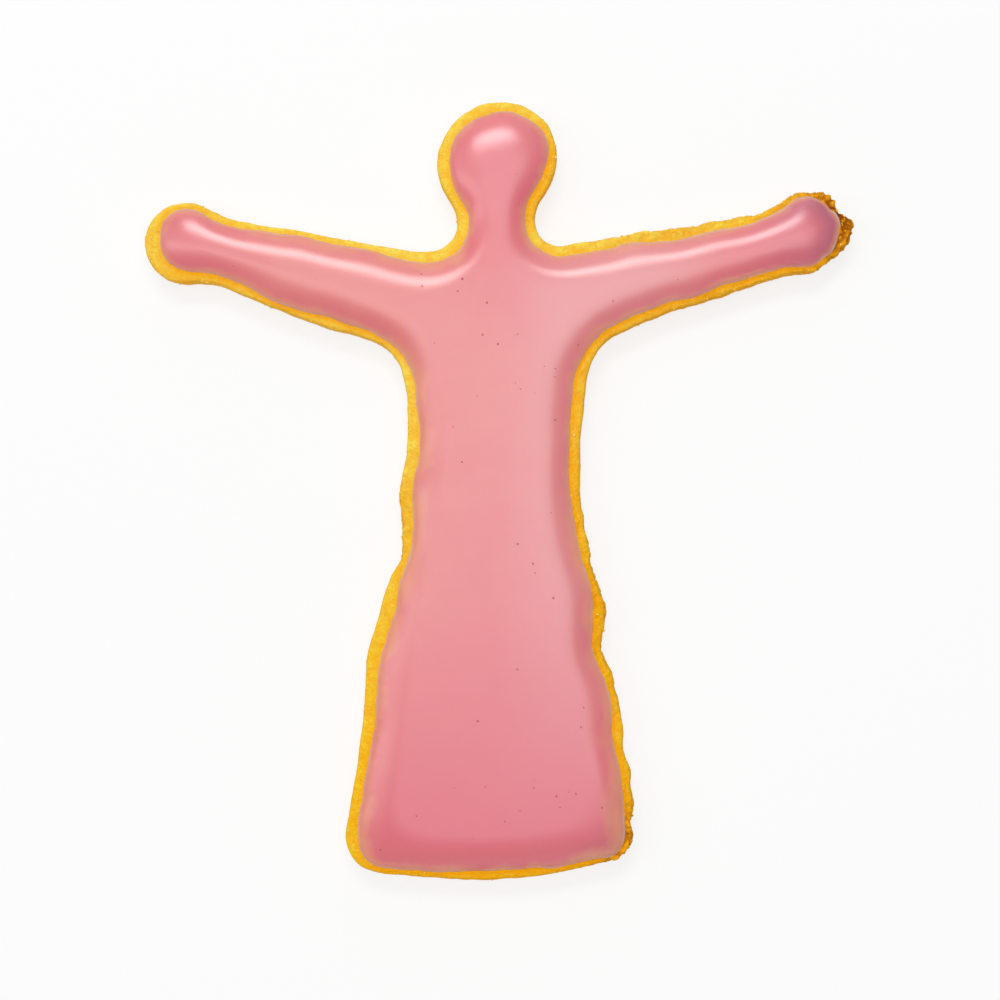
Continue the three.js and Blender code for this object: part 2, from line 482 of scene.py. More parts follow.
def times(tree, first, second):
    """The product of two values, as when one mask limits another."""
    return calc(tree, "MULTIPLY", first, second)


def scaled(tree, vector, amount):
    """A vector made longer or shorter by an amount."""
    made = add(tree, "ShaderNodeVectorMath", {0: vector}, operation="SCALE")
    feed(tree, made.inputs["Scale"], amount)
    return made.outputs[0]


def spread(tree, value, low, high, new_low=0.0, new_high=1.0):
    """The output of a Map Range node that eases between its ends."""
    ranges = {"Value": value, "From Min": low, "From Max": high, "To Min": new_low, "To Max": new_high}
    return add(tree, "ShaderNodeMapRange", ranges, interpolation_type="SMOOTHSTEP").outputs["Result"]


def tree_inputs(tree, sockets):
    """Declares a tree's inputs, from pairs of name and default, and returns its input node."""
    for name, value in sockets:
        kind = "NodeSocketGeometry" if value is None else "NodeSocketFloat"
        socket = tree.interface.new_socket(name, in_out="INPUT", socket_type=kind)
        if value is not None:
            socket.default_value = value
    return tree.nodes.new("NodeGroupInput").outputs


def apply_tree(source, tree, name, **values):
    """Runs a Geometry Nodes tree on a copy of a piece, and returns it as a plain mesh."""
    carrier = bpy.data.objects.new(name, source.data)
    bpy.context.scene.collection.objects.link(carrier)
    modifier = carrier.modifiers.new("tree", "NODES")
    modifier.node_group = tree
    for item in tree.interface.items_tree:
        if item.in_out == "INPUT" and item.name in values:
            modifier[item.identifier] = values[item.name]
    bpy.context.view_layer.update()
    evaluated = carrier.evaluated_get(bpy.context.evaluated_depsgraph_get())
    mesh = bpy.data.meshes.new_from_object(evaluated)
    mesh.name = name
    carrier.modifiers.remove(modifier)
    carrier.data = mesh
    print(f"{name}: {len(mesh.polygons)} faces")
    return carrier


# %% [markdown]
# ## Surface effects that the materials share
#
# A real surface is never one colour. Two effects are used all over the cookie: a slow drift of
# colour, as from uneven browning or mixing, and a fine grain. Each is a small group of shader
# nodes, built once and given other sizes in each material.

# %% Group for a slow drift of colour
def shader_group(name, inputs, outputs):
    """An empty shader group with float inputs, and its input and output nodes."""
    group = bpy.data.node_groups.new(name, "ShaderNodeTree")
    given = tree_inputs(group, inputs)
    for label in outputs:
        group.interface.new_socket(label, in_out="OUTPUT", socket_type="NodeSocketFloat")
    return group, given, group.nodes.new("NodeGroupOutput").inputs


def own_place(tree):
    """Each point's place on its own piece, which patterns follow."""
    return add(tree, "ShaderNodeTexCoord").outputs["Object"]


def build_drift():
    """A mask of soft patches, whose borders are narrower when it is sharper."""
    inputs = [("Patches per metre", 120.0), ("Sharpness", 0.3)]
    group, given, result = shader_group("slow_drift", inputs, ["Mask"])
    where = {"Vector": own_place(group), "Scale": given["Patches per metre"]}
    clouds = add(group, "ShaderNodeTexNoise", {**where, "Detail": 3.0, "Roughness": 0.55})
    border = calc(group, "SUBTRACT", 0.5, times(group, given["Sharpness"], 0.45))
    low = calc(group, "SUBTRACT", 0.5, times(group, border, 0.5))
    high = calc(group, "ADD", 0.5, times(group, border, 0.5))
    feed(group, result["Mask"], spread(group, clouds.outputs["Fac"], low, high))
    return group


# %% Group for a fine grain
def build_grain():
    """A height of small lumps, and a mask of the flecks that stand out of them."""
    inputs = [("Grains per metre", 2500.0)]
    group, given, result = shader_group("fine_grain", inputs, ["Height", "Flecks"])
    where = {"Vector": own_place(group), "Scale": given["Grains per metre"]}
    speckle = add(group, "ShaderNodeTexNoise", {**where, "Detail": 4.0, "Roughness": 0.65})
    lumps = add(group, "ShaderNodeTexVoronoi", where)
    hollows = times(group, lumps.outputs["Distance"], 0.45)
    feed(group, result["Height"], calc(group, "SUBTRACT", speckle.outputs["Fac"], hollows))
    feed(group, result["Flecks"], spread(group, speckle.outputs["Fac"], 0.58, 0.7))
    return group


slow_drift = build_drift()
fine_grain = build_grain()


# %% Helpers for materials
def material(name, **settings):
    """A new material, its node tree and its Principled shader with plain values set on it."""
    made = bpy.data.materials.new(name)
    made.use_nodes = True
    shader = made.node_tree.nodes["Principled BSDF"]
    for label, value in settings.items():
        shader.inputs[label.replace("_", " ")].default_value = value
    return made, made.node_tree, shader.inputs


def use(tree, group, **inputs):
    """Places a shared group in a material with its own values."""
    made = add(tree, "ShaderNodeGroup", node_tree=group)
    for label, value in inputs.items():
        feed(tree, made.inputs[label.replace("_", " ")], value)
    return made.outputs


def drift(tree, per_metre, sharpness=0.3):
    """A mask of slow patches, so many to the metre."""
    return use(tree, slow_drift, Patches_per_metre=per_metre, Sharpness=sharpness)["Mask"]


def mixed(tree, share, first, second):
    """The output of a colour mix, from first to second."""
    mix = add(tree, "ShaderNodeMix", data_type="RGBA")
    feed(tree, mix.inputs["Factor"], share)
    for name, colour in (("A", first), ("B", second)):
        socket = next(s for s in mix.inputs if s.name == name and s.type == "RGBA")
        feed(tree, socket, colour if isinstance(colour, bpy.types.NodeSocket) else (*colour, 1.0))
    return next(s for s in mix.outputs if s.type == "RGBA")


def layered(tree, colour, *layers):
    """A colour with others laid over it in turn, each given as a mask, a strength and a colour."""
    for mask, strength, over in layers:
        colour = mixed(tree, times(tree, mask, strength), colour, over)
    return colour


def stored(tree, name):
    """An attribute of the piece, read in a material."""
    return add(tree, "ShaderNodeAttribute", attribute_name=name).outputs["Fac"]


def bumped(tree, height, depth):
    """A normal from a height, where depth is the real height of a full step."""
    bump = add(tree, "ShaderNodeBump", {"Height": height, "Distance": depth, "Strength": 1.0})
    return bump.outputs["Normal"]


# %% [markdown]
# ## Baked dough
#
# Sugar dough bakes to a strong golden yellow. Browning starts where the heat comes in first: at
# the foot that touches the tray, on loose crumbs, and in the ragged places. The clean top of the
# rim stays lightest, and it is painted paler still up and to the left, as painted light. So the
# colour is built as the oven builds it, golden first and then browner layers, each with its own
# mask. Some layers are painted shade: the orange line beside the icing, the orange of the edges
# that face away from the light, and the darkening in hollows and crevices.

# %% Material of the baked dough
golden = (1.0, 0.54, 0.014)
bright_gold = (1.0, 0.66, 0.030)
pale_gold = (1.0, 0.78, 0.115)
amber = (1.0, 0.39, 0.004)
orange = (1.0, 0.37, 0.004)
toast = (0.32, 0.075, 0.003)


def dough_material():
    """Golden dough in baked layers, with painted light up and to the left and painted shade in places."""
    made, tree, shader = material(
        "baked_dough", Subsurface_Weight=0.12, Subsurface_Scale=0.8 * MM, Specular_IOR_Level=0.06
    )
    shader["Subsurface Radius"].default_value = (1.0, 0.5, 0.12)
    patches = drift(tree, 210.0, 0.4)
    freckles = drift(tree, 800.0, 0.5)
    speckle = drift(tree, 1400.0, 0.6)
    grain = use(tree, fine_grain, Grains_per_metre=1900.0)
    painted_shade_side = stored(tree, "painted_shade_side")
    brown_place = stored(tree, "browned")

    place = add(tree, "ShaderNodeSeparateXYZ", {0: own_place(tree)}).outputs
    # Painted light: the rim is painted paler up and to the left, less so at the head and hands.
    slant = calc(tree, "MULTIPLY_ADD", place["X"], -0.7, place["Y"])
    painted_light_up_left = spread(tree, slant, -30 * MM, 42 * MM)
    painted_light_share = calc(tree, "MULTIPLY_ADD", stored(tree, "painted_end_shade"), -0.55, 0.95)
    # Painted shade: an orange line beside the icing, stronger on the edges away from the light.
    shade_beside_icing = calc(tree, "MULTIPLY_ADD", painted_shade_side, 0.5, 0.35)
    # Orange where the place is browned, and painted shade in the hollows.
    torn = calc(tree, "MAXIMUM", times(tree, stored(tree, "hollow"), 0.25), times(tree, brown_place, 0.8))
    speckled = times(tree, brown_place, times(tree, speckle, 0.28))
    deep_brown = calc(tree, "MULTIPLY_ADD", brown_place, 0.9, 0.2)
    # Toasted specks, and painted shade in the crevices, stronger where the place is browned.
    specks_and_crevice_shade = calc(tree, "MAXIMUM", speckled, times(tree, stored(tree, "crevice"), deep_brown))
    colour = layered(
        tree, golden,
        (patches, 0.8, bright_gold),
        (painted_light_up_left, painted_light_share, pale_gold),
        (freckles, 0.42, amber),
        (grain["Flecks"], 0.7, pale_gold),
        (stored(tree, "painted_shade_by_icing"), shade_beside_icing, amber),
        (stored(tree, "on_side"), 0.35, amber),
        # painted shade on the edges that face away from the light
        (painted_shade_side, 0.5, amber),
        (torn, 1.0, orange),
        (specks_and_crevice_shade, 1.0, toast),
        (brown_place, times(tree, grain["Flecks"], 0.7), bright_gold),
        (stored(tree, "toasted"), 0.6, toast),
    )  # fmt: skip
    feed(tree, shader["Base Color"], colour)
    feed(tree, shader["Roughness"], spread(tree, grain["Height"], 0.2, 0.6, 0.88, 0.68))
    feed(tree, shader["Normal"], bumped(tree, grain["Height"], 0.22 * MM))
    return made


baked = dough_material()


# %% [markdown]
# ## The relief of the crust
#
# Dough is flour, butter and sugar, and it never bakes quite smooth. A Geometry Nodes tree moves
# the points of the slab along their normals: slow lumps and small pits everywhere it is bare,
# and in the crumbly places two things more. Chunks of cells stand out or have broken off, and
# narrow crevices run where a noise passes its middle value, which gives long bent lines, as in
# a torn biscuit. The tree also stores the hollows and crevices, where the material paints shade.

# %% Tree for the crust's relief
relief_noises = {"lumps": (330.0, 2.0), "pits": (1050.0, 2.0), "tears": (620.0, 4.0)}
chunks_per_metre = 480.0


def named(tree, name):
    """An attribute of the piece, read in a Geometry Nodes tree."""
    read = add(tree, "GeometryNodeInputNamedAttribute", {"Name": name}, data_type="FLOAT")
    return read.outputs["Attribute"]


def bent_place(tree):
    """Each point's place, shifted by a noise, so that a pattern read there has bent borders."""
    warp = add(tree, "ShaderNodeTexNoise", {"Scale": 500.0, "Detail": 3.0}).outputs["Color"]
    place = add(tree, "GeometryNodeInputPosition").outputs[0]
    moved = {0: place, 1: scaled(tree, warp, 3.0 * MM)}
    return add(tree, "ShaderNodeVectorMath", moved, operation="ADD").outputs[0]


def centred(tree, value):
    """A noise from 0 to 1, stretched to run from -1 to 1."""
    return calc(tree, "MULTIPLY_ADD", value, 2.0, -1.0)


def seeded_noise(tree, seed, per_metre, detail):
    """A noise that changes with a seed, from 0 to 1."""
    inputs = {"W": seed, "Scale": per_metre, "Detail": detail, "Roughness": 0.5}
    return add(tree, "ShaderNodeTexNoise", inputs, noise_dimensions="4D").outputs["Fac"]


def geometry_tree(name, sizes):
    """An empty Geometry Nodes tree that takes a piece and some sizes, and gives a piece back."""
    tree = bpy.data.node_groups.new(name, "GeometryNodeTree")
    given = tree_inputs(tree, [("Geometry", None), *((size, 0.0) for size in sizes)])
    tree.interface.new_socket("Geometry", in_out="OUTPUT", socket_type="NodeSocketGeometry")
    return tree, given


def end_tree(tree, shape, finish):
    """Ends a tree in plain mesh with a material."""
    real = add(tree, "GeometryNodeRealizeInstances", {"Geometry": shape}).outputs[0]
    dressed = add(tree, "GeometryNodeSetMaterial", {"Geometry": real, "Material": finish}).outputs[0]
    feed(tree, tree.nodes.new("NodeGroupOutput").inputs[0], dressed)
    return tree


# %% Build and apply the relief
def build_relief_tree():
    """Moves the points of the slab along their normals, and stores its hollows and crevices."""
    tree, given = geometry_tree("crust_relief", ("Lump height", "Pit height", "Crag height", "Seed"))
    lumps, pits, tears = [seeded_noise(tree, given["Seed"], *n) for n in relief_noises.values()]
    cells = {"Vector": bent_place(tree), "Scale": chunks_per_metre}
    chunks = add(tree, "ShaderNodeTexVoronoi", cells).outputs["Color"]
    chance = add(tree, "ShaderNodeSeparateXYZ", {0: chunks}).outputs[0]
    chunk = spread(tree, chance, 0.2, 0.9, 0.3, -1.0)
    from_middle = calc(tree, "ABSOLUTE", centred(tree, tears))
    crevice = spread(tree, from_middle, 0.02, 0.26, 1.0, 0.0)
    torn = calc(tree, "SUBTRACT", times(tree, chunk, 0.8), crevice)
    crag = times(tree, times(tree, torn, named(tree, "crumbly")), given["Crag height"])
    push = calc(tree, "MULTIPLY_ADD", centred(tree, lumps), given["Lump height"], crag)
    push = calc(tree, "MULTIPLY_ADD", centred(tree, pits), given["Pit height"], push)
    push = times(tree, push, named(tree, "relief"))
    kept = given["Geometry"]
    marks = {
        "hollow": spread(tree, push, 0.02 * MM, -0.14 * MM),
        "crevice": times(tree, crevice, named(tree, "crumbly")),
    }
    for label, value in marks.items():
        mark = {"Geometry": kept, "Name": label, "Value": value}
        kept = add(tree, "GeometryNodeStoreNamedAttribute", mark).outputs[0]
    offset = scaled(tree, add(tree, "GeometryNodeInputNormal").outputs[0], push)
    moved = add(tree, "GeometryNodeSetPosition", {"Geometry": kept, "Offset": offset}).outputs[0]
    return end_tree(tree, moved, baked)


relief_values = {"Lump height": 0.13 * MM, "Pit height": 0.1 * MM, "Crag height": 0.45 * MM, "Seed": 3.0}
crust = apply_tree(dough, build_relief_tree(), "crust", **relief_values)


# %% [markdown]
# ## The icing
#
# Runny icing finds its own shape. It is held at its edge and pulled flat by its weight, so it
# rises steeply and leans back more and more, until it lies level. Where the cookie is narrow, as
# in the arms, the two shoulders meet and the top is a smooth ridge. A bevel can't do that,
# because it measures straight to the nearest edge and so leaves a crease down the middle. A
# puddle can: each point is the average of its neighbours, pulled a little towards full depth,
# and the edge stays at zero. What a point lacks of full depth shrinks by the same share with each
# step inwards, so its logarithm is a distance from the edge that has no creases.

# %% Solve the shape of a puddle
least_area = 1e-15
close_enough = 1e-12
almost_full = 1 - 1e-6


def puddle(points, faces, edge_count, reach):
    """0 at the first edge_count points, near 1 further in than a few times reach.

    Neighbours pull by cotangent weights, and conjugate gradients solve the equations.
    """
    a, b, c = np.array(faces).T
    weights, ends = [], []
    area = np.zeros(len(points))
    for i, j, k in ((a, b, c), (b, c, a), (c, a, b)):
        to_i, to_j = points[i] - points[k], points[j] - points[k]
        cross = np.abs(to_i[:, 0] * to_j[:, 1] - to_i[:, 1] * to_j[:, 0])
        weights.append(np.sum(to_i * to_j, axis=1) / np.maximum(cross, least_area) / 2)
        ends.append((i, j))
        np.add.at(area, k, cross / 6)
    weight = np.maximum(np.concatenate(weights), 0) * reach**2
    first, second = (np.concatenate(corner) for corner in zip(*ends))
    size = len(points)
    free = np.arange(size) >= edge_count
    total = area + np.bincount(first, weight, size) + np.bincount(second, weight, size)

    def apply(u):
        flow = np.bincount(first, weight * u[second], size)
        flow += np.bincount(second, weight * u[first], size)
        return np.where(free, total * u - flow, 0)

    level = np.zeros(size)
    left = np.where(free, area, 0)
    step = left / total
    aim = np.sum(left * step)
    while aim > close_enough * np.sum(area):
        moved = apply(step)
        stride = aim / np.sum(step * moved)
        level += stride * step
        left -= stride * moved
        ready = left / total
        aim, before = np.sum(left * ready), aim
        step = ready + aim / before * step
    return np.clip(level, 0, almost_full)


# %% [markdown]
# The cross-section of the pool is given by how steeply it rises at each distance from the edge.
# Adding up those rises gives the height. This is the surest way to place a highlight, because
# light is mirrored by the tilt of a surface and not by its height. A window that is seen 27
# degrees from upright is mirrored where the icing leans by half of that.

# %% Draw the cross-section of the pool, as millimetres from the edge and degrees of tilt
edge_tilts = [
    (0, 62), (0.45, 42), (0.9, 29), (1.6, 22), (2.2, 17.5), (2.75, 14),
    (3.3, 10.5), (4.0, 6.5), (4.8, 3), (6.0, 0),
]  # fmt: skip
fine_steps = np.linspace(0, edge_tilts[-1][0], 400)
rises = np.tan(np.radians(np.interp(fine_steps, *np.array(edge_tilts).T)))
risen = np.concatenate([[0], np.cumsum((rises[1:] + rises[:-1]) / 2)])
risen /= risen[-1]

# %% Sizes of the pool, with its insets in millimetres
puddle_reach = 2.8 * MM
waver_reach = 1.2 * MM
wavers_end_at = 1.6
edge_insets = [0, 0.015, 0.06, 0.14, 0.26, 0.42, 0.62, 0.86, 1.15]
lattice_gap = 0.42 * MM
sunk = 0.15 * MM
fullest = 0.985
hand_waves = {"per_metre": 75, "seed": 2.0, "share": 0.22}
depth_waves = {"per_metre": 55, "seed": 4.0, "share": 0.035}
thin_waves = {"per_metre": 60, "seed": 9.0, "share": 0.4}


def drift_at(flat, waves):
    """A slow noise at each flat point, as a share of what it changes."""
    there = flat * waves["per_metre"]
    return waves["share"] * np.array([noise.noise(Vector((x, y, waves["seed"]))) for x, y in there])


# %% [markdown]
# A hand guides the piping bag, so the pool is nowhere quite the same. One slow noise makes its
# shoulder wider and narrower, one its depth, and one how thin it ran out at the edge. The foot of
# the icing is sunk a little into the dough, so that no light shows between the two.

# %% Build the icing
def build_icing():
    """The pool: close rings at its edge, a lattice inside, and a flat underside."""
    count = len(icing_edge)
    smooth_edge = softened(icing_edge, waver_reach, point_gap)
    icing_inwards = inward_normals(smooth_edge)
    rings = []
    for inset in edge_insets:
        share = smooth_step(0, wavers_end_at, inset)
        rings.append(icing_edge * (1 - share) + smooth_edge * share + icing_inwards * inset * MM)
    inner = lattice_inside(rings[-1], lattice_gap)
    flat = np.vstack([*rings, inner])
    start = (len(rings) - 1) * count
    quads = bands(len(rings), count)
    # The puddle's sums need triangles, so each four-sided face is cut in two.
    halves = [half for q in quads for half in ((q[0], q[1], q[2]), (q[0], q[2], q[3]))]
    top = halves + [tuple(v + start for v in face) for face in filled(rings[-1], inner)]
    from_edge = -puddle_reach * np.log(1 - puddle(flat, top, count, puddle_reach))
    swell = np.interp(from_edge / MM * (1 + drift_at(flat, hand_waves)), fine_steps, risen)
    inside, outwards = nearest_edge(icing_edge, flat)
    filled_up = fullest - drift_at(flat, depth_waves)
    height = dough_top - sunk + (icing_depth + sunk) * swell * filled_up
    points = np.column_stack([flat, height])
    under = [face[::-1] for face in filled(rings[0], np.empty((0, 2)))]
    piece = make_piece("icing_pool", points, top + under)
    store(piece, "in_from_edge", inside / MM)
    # Painted shade: the icing along the edges that face away from the light.
    store(piece, "painted_shade_side", smooth_step(-0.1, 0.9, outwards @ away_from_light))
    store(piece, "ran_thin", thinness(flat, outwards))
    store(piece, "browned", place_sum(crumbly_places, "browned", *flat.T))
    # Painted shade at the head and the hands.
    store(piece, "painted_end_shade", place_sum(painted_shade_ends, "share", *flat.T))
    print(f"icing: {len(points)} points, highest {height.max() / MM:.2f} mm")
    return piece


def thinness(flat, outwards):
    """How thin the icing ran at its edge: most at the gown's sides, least at head and hands."""
    sideways = smooth_step(0.3, 0.95, np.abs(outwards[:, 0]))
    thin = 0.35 + drift_at(flat, thin_waves) + 0.5 * sideways
    thin *= 1 - 0.85 * place_sum(painted_shade_ends, "share", *flat.T)
    return np.clip(thin + place_sum(thin_places, "share", *flat.T), 0, 1.5)


pool = build_icing()


# %% [markdown]
# ## Icing colour and shine
#
# Icing is mostly white sugar with a drop of pink, and light goes some way into it before it
# comes back out. That softens its shading, so the material has some subsurface scattering. At
# the very edge the layer is so thin that the dough shows through, which turns the pink to tan
# and then to a thin greyish line. The pink is painted paler on the right half of the gown, as a
# painted sheen, and it is warmer on the left. It is painted rosier towards the hem, at the head
# and hands and along the edges that face away from the light, all as painted shade. Set icing
# shines, but not like glass: its roughness spreads the mirrored window into a soft pale band.

# %% Material of the icing
pink = (0.78, 0.212, 0.236)
pale_pink = (0.80, 0.256, 0.266)
sheen_pink = (0.80, 0.330, 0.345)
rose = (0.775, 0.160, 0.216)
salmon = (0.795, 0.242, 0.224)
thin_tan = (0.85, 0.39, 0.21)
edge_grey = (0.72, 0.49, 0.42)
dull_plum = (0.46, 0.14, 0.21)


def tan_edge(tree, inside, streaks):
    """How much of the dough shows through, for a distance inside the edge in millimetres."""
    blotches = drift(tree, 140.0, 0.3)
    patchy = calc(tree, "MULTIPLY_ADD", drift(tree, 220.0), 0.4, 0.6)
    ran_in = times(tree, stored(tree, "ran_thin"), calc(tree, "MULTIPLY_ADD", blotches, 2.4, 0.8))
    width = calc(tree, "ADD", ran_in, calc(tree, "MULTIPLY_ADD", streaks, 0.8, 0.4))
    thin = calc(tree, "SUBTRACT", 1.0, calc(tree, "DIVIDE", inside, width))
    return times(tree, spread(tree, thin, 0.0, 0.9), patchy)


def icing_material():
    """Pink icing that pales, warms and thins out by place, with a painted sheen and painted shade."""
    made, tree, shader = material(
        "pink_icing", Subsurface_Weight=0.25, Subsurface_Scale=1.2 * MM, Specular_IOR_Level=0.68
    )
    shader["Subsurface Radius"].default_value = (1.0, 0.45, 0.35)
    inside = stored(tree, "in_from_edge")
    clouds = drift(tree, 70.0, 0.1)
    streaks = drift(tree, 230.0, 0.2)
    grain = use(tree, fine_grain, Grains_per_metre=1500.0)

    place = add(tree, "ShaderNodeSeparateXYZ", {0: own_place(tree)}).outputs
    # Painted sheen: paler on the right half of the gown, short of the hand.
    painted_sheen_right = spread(tree, place["X"], -2 * MM, 12 * MM)
    left_half = spread(tree, place["X"], 8 * MM, -22 * MM)
    short_of_hand = spread(tree, place["X"], 36 * MM, 24 * MM)
    # Painted shade: rosier towards the hem.
    painted_shade_to_hem = spread(tree, place["Y"], 5 * MM, -62 * MM)
    shoulder = spread(tree, inside, 6.0, 1.5)
    # Painted shade: rosier along the edges that face away from the light.
    painted_edge_shade = times(tree, stored(tree, "painted_shade_side"), spread(tree, inside, 4.0, 1.2))
    # Partly thin icing over the browned crust, partly painted shade where the hand slopes from the light.
    browned_and_shaded = times(tree, stored(tree, "browned"), spread(tree, inside, 6.0, 0.5))
    brim = times(tree, calc(tree, "MULTIPLY_ADD", streaks, 0.6, 0.25), spread(tree, inside, 0.5, 0.12))
    colour = layered(
        tree, pink,
        (clouds, 1.0, pale_pink),
        (times(tree, painted_sheen_right, short_of_hand), 0.85, sheen_pink),
        (left_half, 0.6, salmon),
        (painted_shade_to_hem, 0.9, rose),
        (shoulder, 0.4, salmon),
        # painted shade at the head and the hands
        (stored(tree, "painted_end_shade"), 0.6, rose),
        (painted_edge_shade, 0.4, rose),
        (browned_and_shaded, 0.85, dull_plum),
        (tan_edge(tree, inside, streaks), 0.72, thin_tan),
        (brim, 1.0, edge_grey),
    )  # fmt: skip
    feed(tree, shader["Base Color"], colour)
    feed(tree, shader["Roughness"], spread(tree, clouds, 0.0, 1.0, 0.258, 0.272))
    feed(tree, shader["Normal"], bumped(tree, grain["Height"], 0.006 * MM))
    return made


iced = icing_material()
pool.data.materials.append(iced)


# %% [markdown]
# ## Crumbs and sugar
#
# Two kinds of small things sit on the bare dough. Crumbs cling where it is torn, and grains of
# sugar show everywhere as pale specks. One Geometry Nodes tree scatters either kind: it drops
# points over the crust, denser where a stored attribute is higher, and puts a turned and
# resized copy of a small shape on each. The copies are realized, so they are plain mesh.

# %% Materials of crumbs and sugar
clear_yellow = (1.0, 0.64, 0.10)
clear_white = (1.0, 0.76, 0.24)


def crumb_material():
    """Dry crumbs, golden to orange with a few toasted flecks."""
    made, tree, shader = material("loose_crumb", Specular_IOR_Level=0.2)
    grain = use(tree, fine_grain, Grains_per_metre=2600.0)
    patches = drift(tree, 500.0, 0.5)
    colour = mixed(tree, patches, golden, orange)
    feed(tree, shader["Base Color"], mixed(tree, times(tree, grain["Flecks"], 0.5), colour, toast))
    feed(tree, shader["Roughness"], spread(tree, grain["Height"], 0.2, 0.6, 0.9, 0.75))
    return made


def sugar_material():
    """Half clear grains that take on the gold of the dough."""
    made, tree, shader = material("sugar_grain", Subsurface_Weight=0.5, Subsurface_Scale=0.4 * MM)
    shader["Subsurface Radius"].default_value = (1.0, 0.9, 0.6)
    clear = use(tree, fine_grain, Grains_per_metre=5000.0)["Height"]
    feed(tree, shader["Base Color"], mixed(tree, clear, clear_yellow, clear_white))
    feed(tree, shader["Roughness"], spread(tree, clear, 0.2, 0.6, 0.2, 0.35))
    return made


# %% Tree that scatters small things
least_stretch = 0.45
most_stretch = 1.25


def random_vector(tree, seed, low, high):
    """A fixed random vector for each scattered thing, with parts from low to high."""
    made = add(tree, "FunctionNodeRandomValue", {"Seed": seed}, data_type="FLOAT_VECTOR")
    made.inputs[0].default_value = (low,) * 3
    made.inputs[1].default_value = (high,) * 3
    return made.outputs[0]


def scatter_tree(name, dense_where, finish, shape_of, lies_flat=False):
    """Scatters one small shape over a piece, turned at random or laid flat."""
    tree, given = geometry_tree(name, ("Size", "Apart", "Most per square metre", "Seed"))
    where = {
        "Mesh": given["Geometry"],
        "Distance Min": given["Apart"],
        "Density Max": given["Most per square metre"],
        "Density Factor": dense_where(tree),
        "Seed": given["Seed"],
    }
    drop = add(tree, "GeometryNodeDistributePointsOnFaces", where, distribute_method="POISSON").outputs
    turn = drop["Rotation"] if lies_flat else random_vector(tree, 1, 0.0, 2 * math.pi)
    copies = {
        "Points": drop["Points"],
        "Instance": shape_of(tree, given["Size"]),
        "Rotation": turn,
        "Scale": random_vector(tree, 2, least_stretch, most_stretch),
    }
    return end_tree(tree, add(tree, "GeometryNodeInstanceOnPoints", copies).outputs[0], finish)


# %% Small shapes
def grain_shape(tree, size):
    """A small cube, as a grain of sugar is."""
    sides = add(tree, "ShaderNodeCombineXYZ", {0: size, 1: size, 2: size}).outputs[0]
    return add(tree, "GeometryNodeMeshCube", {"Size": sides}).outputs["Mesh"]


def lump_shape(tree, size):
    """A ball of a few dozen faces, dented into a crumb."""
    ball_sizes = {"Segments": 7, "Rings": 5, "Radius": times(tree, size, 0.5)}
    ball = add(tree, "GeometryNodeMeshUVSphere", ball_sizes).outputs["Mesh"]
    dents = add(tree, "ShaderNodeTexNoise", {"Scale": 2600.0, "Detail": 2.0}).outputs["Color"]
    middle = {0: dents, 1: (0.5, 0.5, 0.5)}
    dents = add(tree, "ShaderNodeVectorMath", middle, operation="SUBTRACT").outputs[0]
    shift = scaled(tree, dents, times(tree, size, 0.65))
    return add(tree, "GeometryNodeSetPosition", {"Geometry": ball, "Offset": shift}).outputs[0]


# %% Where they lie
def clear_of_tray(tree):
    """0 near the tray, so that nothing hangs below it."""
    return spread(tree, named(tree, "toasted"), 0.3, 0.0)


def in_crumbly_places(tree):
    """Dense on bare dough where it is torn."""
    torn = times(tree, spread(tree, named(tree, "crumbly"), 0.2, 0.9), clear_of_tray(tree))
    return times(tree, torn, named(tree, "bare"))


def on_bare_dough(tree):
    """Dense on all bare dough, and less so on its side."""
    mostly_on_top = spread(tree, named(tree, "on_side"), 0.6, 0.2, 0.1, 1.0)
    return times(tree, named(tree, "bare"), times(tree, mostly_on_top, clear_of_tray(tree)))


# %% Scatter crumbs and sugar
crumbs = apply_tree(
    crust,
    scatter_tree("scatter_crumbs", in_crumbly_places, crumb_material(), lump_shape),
    "crumbs",
    **{"Size": 0.55 * MM, "Apart": 0.6 * MM, "Most per square metre": 0.15e6, "Seed": 5},
)
sugar = apply_tree(
    crust,
    scatter_tree("scatter_sugar", on_bare_dough, sugar_material(), grain_shape),
    "sugar_grains",
    **{"Size": 0.25 * MM, "Apart": 0.8 * MM, "Most per square metre": 0.1e6, "Seed": 8},
)


# %% [markdown]
# ## Pinholes
#
# Small air bubbles rise in wet icing and burst as it sets, and each leaves a pit about 0.3 mm
# across. The pit isn't cut into the icing: it is a nearly flat dot, painted deep red as the shade
# inside it. They come in loose groups, so the points are denser where a noise is high.

# %% Material and shape of a pinhole
pinhole_red = (0.42, 0.075, 0.10)
pinhole_pink = (0.56, 0.13, 0.15)
pinhole_flatness = (1.0, 1.0, 0.15)


def pinhole_material():
    """The painted shade inside a burst bubble."""
    made, tree, shader = material("pinhole", Specular_IOR_Level=0.2)
    shade_depths = drift(tree, 90.0)
    feed(tree, shader["Base Color"], mixed(tree, shade_depths, pinhole_red, pinhole_pink))
    feed(tree, shader["Roughness"], spread(tree, shade_depths, 0.0, 1.0, 0.6, 0.7))
    return made


def in_loose_groups(tree):
    """Denser where a slow noise is high, and none on the icing's shoulder."""
    groups = add(tree, "ShaderNodeTexNoise", {"Scale": 55.0, "Detail": 1.0}).outputs["Fac"]
    inside = spread(tree, named(tree, "in_from_edge"), 1.5, 2.5)
    return times(tree, inside, spread(tree, groups, 0.5, 0.75, 0.25, 1.0))


def dot_shape(tree, size):
    """A round dot, nearly flat."""
    dot = add(tree, "GeometryNodeMeshIcoSphere", {"Radius": size, "Subdivisions": 2}).outputs["Mesh"]
    squashed = {"Geometry": dot, "Scale": pinhole_flatness}
    return add(tree, "GeometryNodeTransform", squashed).outputs[0]


